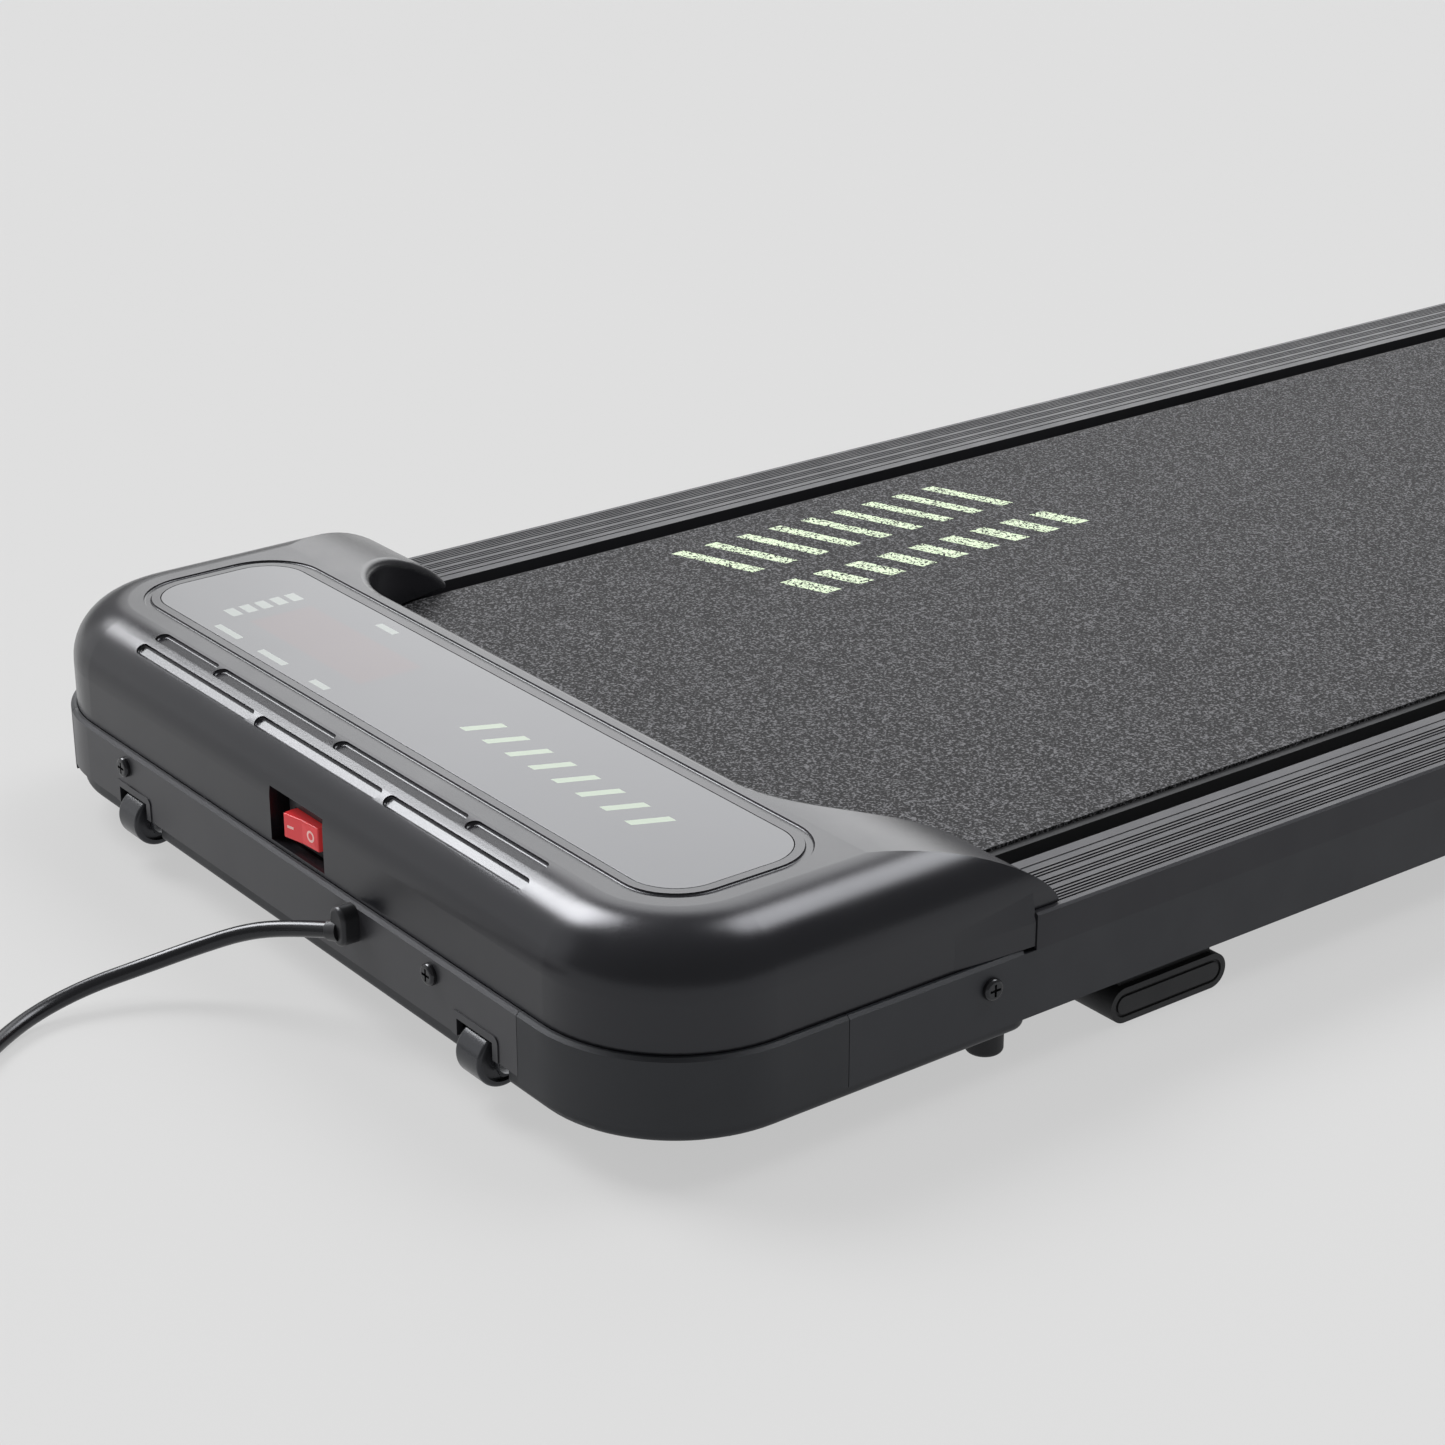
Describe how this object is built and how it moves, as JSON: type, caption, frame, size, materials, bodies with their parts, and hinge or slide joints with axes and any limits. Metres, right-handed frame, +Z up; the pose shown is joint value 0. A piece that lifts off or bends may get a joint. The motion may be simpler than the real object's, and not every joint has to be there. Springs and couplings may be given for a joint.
{
  "type": "under-desk walking treadmill",
  "caption": "Low under-desk walking treadmill: belt deck between grooved foot rails, domed motor head with display, rocker switch, transport wheels and mains lead.",
  "frame": {"origin": "on the floor, at the centre of the machine's plan box, the mains lead left out", "axes": "+X towards the right-hand foot rail, +Y along the belt from the motor head to the rear roller, +Z up"},
  "size_m": [0.505, 1.519, 0.1016],
  "materials": {
    "frame_paint": "satin black powder coat",
    "front_paint": "satin black paint",
    "rail_alloy": "dark anodised, satin",
    "cover_plastic": "satin moulded ABS",
    "tray_plastic": "fine textured plastic",
    "lens": "gloss smoked acrylic",
    "belt_rubber": "grained PVC, matt",
    "deck_board": "black laminated fibreboard",
    "black_rubber": "matt rubber",
    "bare_steel": "turned steel",
    "cast_metal": "cast",
    "zinc_plate": "zinc plated sheet",
    "black_screw": "gloss black oxide",
    "switch_black": "moulded",
    "rocker_red": "gloss, slightly translucent",
    "wheel_plastic": "polished moulded",
    "circuit_board": "solder mask",
    "component_black": "moulded packages",
    "heatsink_alloy": "mill finish",
    "pulley_alloy": "turned",
    "wire_sheath": "PVC insulation",
    "cord_pvc": "semi-gloss PVC",
    "plug_plastic": "moulded",
    "pin_brass": "polished"
  },
  "bodies": {
    "frame": {"side_frame_right": "frame_paint", "side_frame_left": "frame_paint", "foot_rail_right": "rail_alloy", "foot_rail_left": "rail_alloy", "rear_cap_right": "cover_plastic", "rear_cap_left": "cover_plastic", "cross_members": "frame_paint", "deck": "deck_board", "deck_cushions": "black_rubber", "deck_screws": "black_screw", "walking_belt": "belt_rubber", "front_roller_shaft": "bare_steel", "front_roller_brackets": "frame_paint", "rear_brackets": "frame_paint", "corner_shell_right": "tray_plastic", "corner_shell_left": "tray_plastic", "front_beam": "front_paint", "chassis_plate": "zinc_plate", "base_tray": "tray_plastic", "housing_screws": "black_screw", "tray_screws": "black_screw", "head_cover": "cover_plastic", "display_lens": "lens", "display_board": "circuit_board", "power_switch": "switch_black", "strain_relief": "switch_black", "wheel_brackets": "frame_paint", "wheel_axles": "bare_steel", "rubber_feet": "black_rubber", "tray_feet": "black_rubber", "motor_housing": "frame_paint", "motor_bearings": "bare_steel", "motor_brackets": "zinc_plate", "drive_belt": "black_rubber", "speed_sensor": "component_black", "control_board": "circuit_board", "board_components": "component_black", "heatsink": "heatsink_alloy", "wiring_harness": "wire_sheath", "power_cord": "cord_pvc", "power_cord_tail": "cord_pvc", "power_cord_coil": "cord_pvc", "plug_body": "plug_plastic", "plug_pins": "pin_brass"},
    "front_roller": {"front_roller": "bare_steel", "front_roller_bearings": "bare_steel", "front_roller_pulley": "pulley_alloy"},
    "motor_rotor": {"motor_shaft": "bare_steel", "motor_armature": "cast_metal", "motor_pulley": "pulley_alloy", "motor_flywheel": "cast_metal"},
    "rear_axle": {"rear_axle": "bare_steel"},
    "rear_roller": {"rear_roller": "bare_steel", "rear_roller_bearings": "bare_steel"},
    "adjuster_right": {"rear_adjuster_right": "zinc_plate"},
    "adjuster_left": {"rear_adjuster_left": "zinc_plate"},
    "switch_rocker": {"switch_rocker": "rocker_red"},
    "wheel_left": {"transport_wheel_left": "wheel_plastic"},
    "wheel_right": {"transport_wheel_right": "wheel_plastic"}
  },
  "joints": [
    {"name": "front_roller_spin", "type": "hinge", "parent": "frame", "child": "front_roller", "pos_m": [0, -0.4725, 0.0476], "axis": [1, 0, 0], "continuous": true},
    {"name": "motor_spin", "type": "hinge", "parent": "frame", "child": "motor_rotor", "pos_m": [-0.115, -0.5375, 0.058], "axis": [1, 0, 0], "continuous": true},
    {"name": "rear_axle_slide", "type": "slide", "parent": "frame", "child": "rear_axle", "axis": [0, 1, 0], "range_m": [-0.006, 0]},
    {"name": "rear_roller_spin", "type": "hinge", "parent": "rear_axle", "child": "rear_roller", "pos_m": [0, 0.556, 0.0476], "axis": [1, 0, 0], "continuous": true},
    {"name": "adjuster_right_turn", "type": "hinge", "parent": "frame", "child": "adjuster_right", "pos_m": [0.225, 0.58, 0.0476], "axis": [0, 1, 0], "range_deg": [0, 2160]},
    {"name": "adjuster_left_turn", "type": "hinge", "parent": "frame", "child": "adjuster_left", "pos_m": [-0.225, 0.58, 0.0476], "axis": [0, 1, 0], "range_deg": [0, 2160]},
    {"name": "switch_rocker_tip", "type": "hinge", "parent": "frame", "child": "switch_rocker", "pos_m": [0.0033, -0.5775, 0.0662], "axis": [0, 0, 1], "range_deg": [-16, 0]},
    {"name": "wheel_left_spin", "type": "hinge", "parent": "frame", "child": "wheel_left", "pos_m": [-0.1407, -0.578, 0.0215], "axis": [1, 0, 0], "continuous": true},
    {"name": "wheel_right_spin", "type": "hinge", "parent": "frame", "child": "wheel_right", "pos_m": [0.1407, -0.578, 0.0215], "axis": [1, 0, 0], "continuous": true}
  ],
  "couplings": [
    {"joint": "motor_spin", "follows": "front_roller_spin", "ratio": 2.5},
    {"joint": "rear_roller_spin", "follows": "front_roller_spin", "ratio": 1},
    {"joint": "adjuster_right_turn", "follows": "rear_axle_slide", "rad_per_m": -6283.2},
    {"joint": "adjuster_left_turn", "follows": "rear_axle_slide", "rad_per_m": -6283.2}
  ]
}
